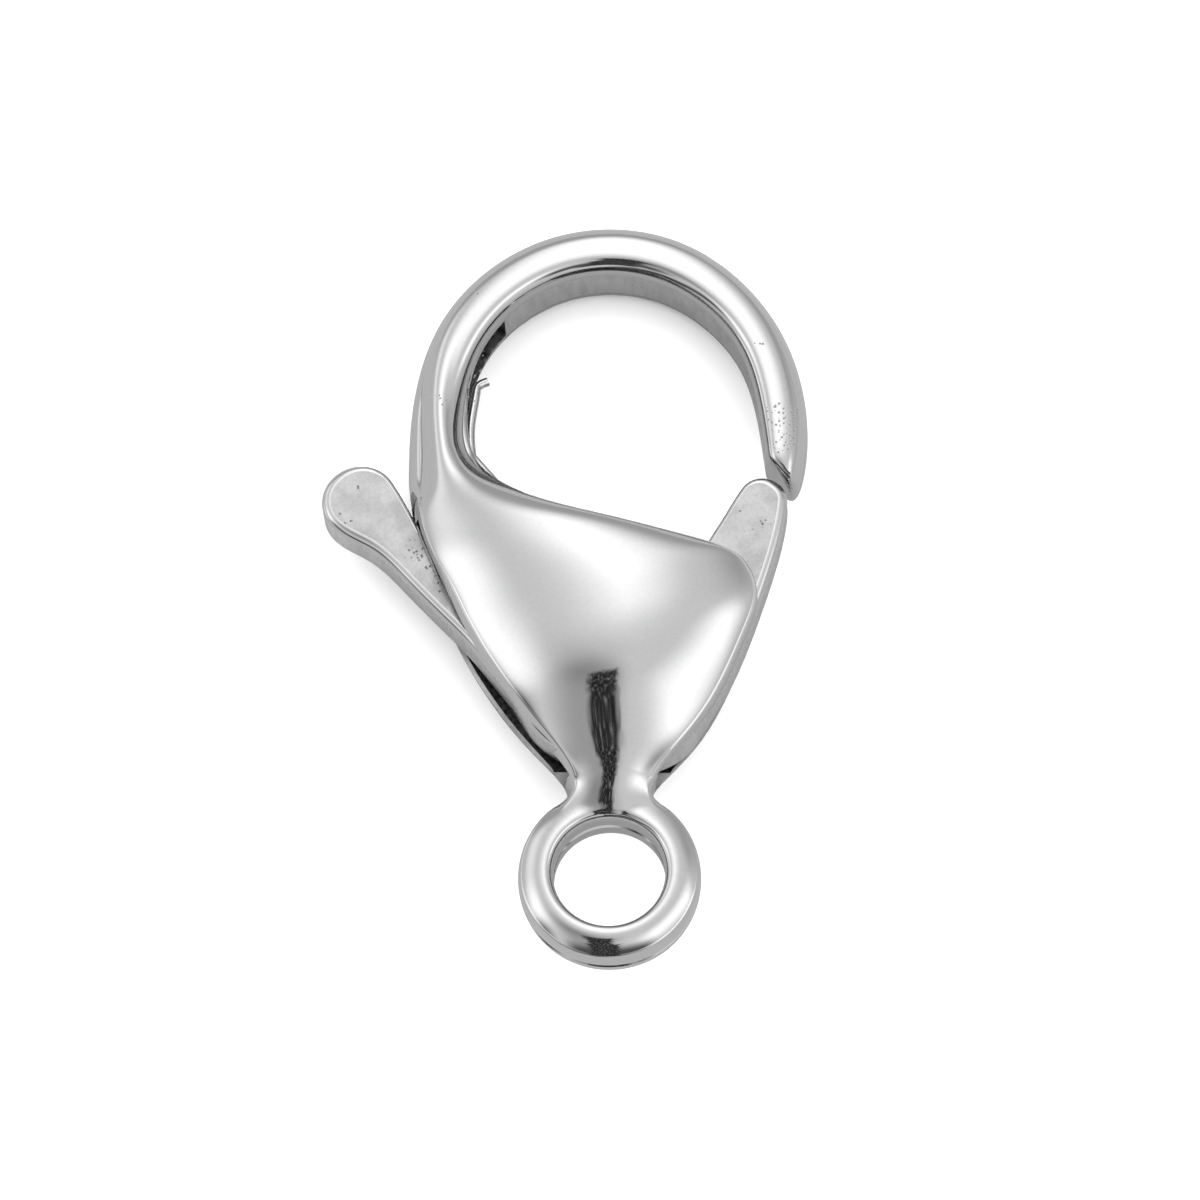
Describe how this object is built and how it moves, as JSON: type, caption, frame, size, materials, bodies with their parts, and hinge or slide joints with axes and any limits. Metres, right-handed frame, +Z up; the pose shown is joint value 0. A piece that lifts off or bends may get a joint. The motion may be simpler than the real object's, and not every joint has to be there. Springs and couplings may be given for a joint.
{
  "type": "lobster clasp",
  "caption": "Sprung lobster clasp for a necklace or bracelet: a domed body with a hook and an end ring, closed by a lever with a thumb tab.",
  "frame": {"origin": "the middle of the clasp's outline as it lies, at the height of the surface under it", "axes": "+Y from the end ring to the hook, +X to the gate's side, +Z up out of the front of the clasp"},
  "size_m": [0.0159, 0.0254, 0.0058],
  "materials": {
    "polished_steel": "mirror polished cast stainless steel",
    "satin_steel": "satin stainless steel with a fine pitted grain",
    "pin_steel": "plain ground stainless steel",
    "spring_wire": "bright drawn spring wire"
  },
  "bodies": {
    "body": {"body": "polished_steel", "pivot_pin": "pin_steel", "spring": "spring_wire"},
    "lever": {"lever": "satin_steel"}
  },
  "joints": [
    {"name": "lever_pivot", "type": "hinge", "parent": "body", "child": "lever", "pos_m": [0.00145, -0.00238, 0.00309], "axis": [0, 0.1227, 0.9924], "range_deg": [0, 24], "stiffness_Nm_per_rad": 0.012, "springref_deg": -51.57, "deforming": ["spring"]}
  ]
}
